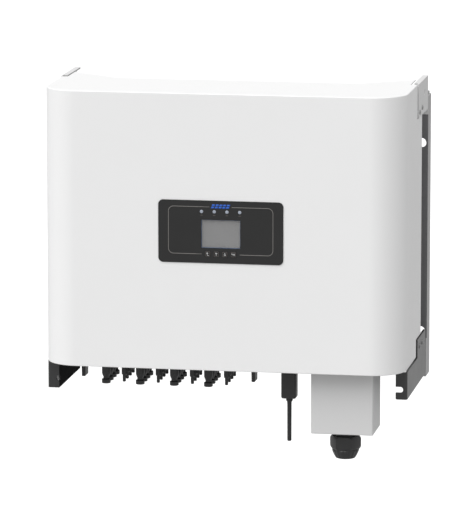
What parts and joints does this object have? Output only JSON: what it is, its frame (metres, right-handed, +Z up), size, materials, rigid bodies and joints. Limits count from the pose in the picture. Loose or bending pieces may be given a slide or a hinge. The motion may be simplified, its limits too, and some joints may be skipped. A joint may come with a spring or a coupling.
{
  "type": "string inverter",
  "caption": "Wall-hung solar string inverter with a rounded white cover, display panel, solar sockets and isolators below, wiring box with gland, finned back and wall bracket.",
  "frame": {"origin": "centre of the four wall bolts, on the bracket's back face, where the wall is", "axes": "+Y into the wall, +Z up, +X to the right seen from the front"},
  "size_m": [0.6438, 0.3519, 0.6523],
  "materials": {
    "cover_white": "satin white powder coat with a fine texture",
    "frame_grey": "dark grey powder coat, semi-matt",
    "bracket_zinc": "light grey zinc-coated sheet",
    "box_grey": "light grey powder coat",
    "sink_aluminium": "extruded, lightly brushed",
    "fastener_steel": "bright zinc",
    "panel_black": "smooth dark film",
    "screen_glass": "clear window with a grey tint",
    "screen_grey": "display glass and frame",
    "lamp_clear": "frosted light guide",
    "board_green": "solder-masked board",
    "part_black": "moulded glass-filled plastic",
    "capacitor_sleeve": "shrink sleeve",
    "choke_potting": "potting resin",
    "terminal_grey": "moulded",
    "seal_rubber": "moulded rubber"
  },
  "bodies": {
    "inverter": {"boost_chokes": "choke_potting", "box_gasket": "seal_rubber", "bracket_bar_bottom": "bracket_zinc", "bracket_bar_top": "bracket_zinc", "bracket_rail_left": "bracket_zinc", "bracket_rail_right": "bracket_zinc", "bracket_rivets": "fastener_steel", "chassis_box": "frame_grey", "chassis_lid": "frame_grey", "control_board": "board_green", "display_board": "board_green", "display_panel": "panel_black", "ear_plate_left": "cover_white", "ear_plate_right": "cover_white", "earth_stud": "fastener_steel", "fan_frames": "part_black", "fan_tray": "frame_grey", "filter_chokes": "choke_potting", "foot_plate_left": "frame_grey", "foot_plate_right": "frame_grey", "front_cover": "cover_white", "gland_body": "part_black", "gland_locknut": "part_black", "gland_nut": "part_black", "gland_seal": "seal_rubber", "grid_box": "box_grey", "grid_relays": "part_black", "grid_terminals": "terminal_grey", "hang_bar": "frame_grey", "hang_hooks": "bracket_zinc", "heat_sink": "sink_aluminium", "isolator_blocks": "part_black", "lid_gasket": "seal_rubber", "link_capacitors": "capacitor_sleeve", "lock_screws": "fastener_steel", "logger_antenna": "part_black", "logger_body": "part_black", "logger_ring": "part_black", "power_board": "board_green", "power_modules": "part_black", "screen_glass": "screen_glass", "screen_module": "screen_grey", "side_rail_left": "frame_grey", "side_rail_right": "frame_grey", "side_screws": "fastener_steel", "socket_nuts": "part_black", "solar_sockets_narrow": "part_black", "solar_sockets_wide": "part_black", "status_lamps": "lamp_clear", "surge_arresters": "part_black", "vent_valve": "part_black"},
    "button_back": {"key_back": "panel_black"},
    "button_up": {"key_up": "panel_black"},
    "button_down": {"key_down": "panel_black"},
    "button_enter": {"key_enter": "panel_black"},
    "isolator_left": {"isolator_knob_left": "part_black"},
    "isolator_right": {"isolator_knob_right": "part_black"},
    "fan_left": {"fan_wheel_left": "part_black"},
    "fan_middle": {"fan_wheel_middle": "part_black"},
    "fan_right": {"fan_wheel_right": "part_black"}
  },
  "joints": [
    {"name": "press_back", "type": "slide", "parent": "inverter", "child": "button_back", "axis": [0, 1, 0], "range_m": [0, 0.0008], "stiffness_N_per_m": 900},
    {"name": "press_up", "type": "slide", "parent": "inverter", "child": "button_up", "axis": [0, 1, 0], "range_m": [0, 0.0008], "stiffness_N_per_m": 900},
    {"name": "press_down", "type": "slide", "parent": "inverter", "child": "button_down", "axis": [0, 1, 0], "range_m": [0, 0.0008], "stiffness_N_per_m": 900},
    {"name": "press_enter", "type": "slide", "parent": "inverter", "child": "button_enter", "axis": [0, 1, 0], "range_m": [0, 0.0008], "stiffness_N_per_m": 900},
    {"name": "turn_isolator_left", "type": "hinge", "parent": "inverter", "child": "isolator_left", "pos_m": [-0.2635, -0.245, -0.2535], "axis": [0, 0, 1], "range_deg": [0, 90]},
    {"name": "turn_isolator_right", "type": "hinge", "parent": "inverter", "child": "isolator_right", "pos_m": [0.0415, -0.245, -0.2535], "axis": [0, 0, 1], "range_deg": [0, 90]},
    {"name": "spin_fan_left", "type": "hinge", "parent": "inverter", "child": "fan_left", "pos_m": [-0.15, -0.0785, -0.2115], "axis": [0, 0, 1], "continuous": true},
    {"name": "spin_fan_middle", "type": "hinge", "parent": "inverter", "child": "fan_middle", "pos_m": [0, -0.0785, -0.2115], "axis": [0, 0, 1], "continuous": true},
    {"name": "spin_fan_right", "type": "hinge", "parent": "inverter", "child": "fan_right", "pos_m": [0.15, -0.0785, -0.2115], "axis": [0, 0, 1], "continuous": true}
  ]
}
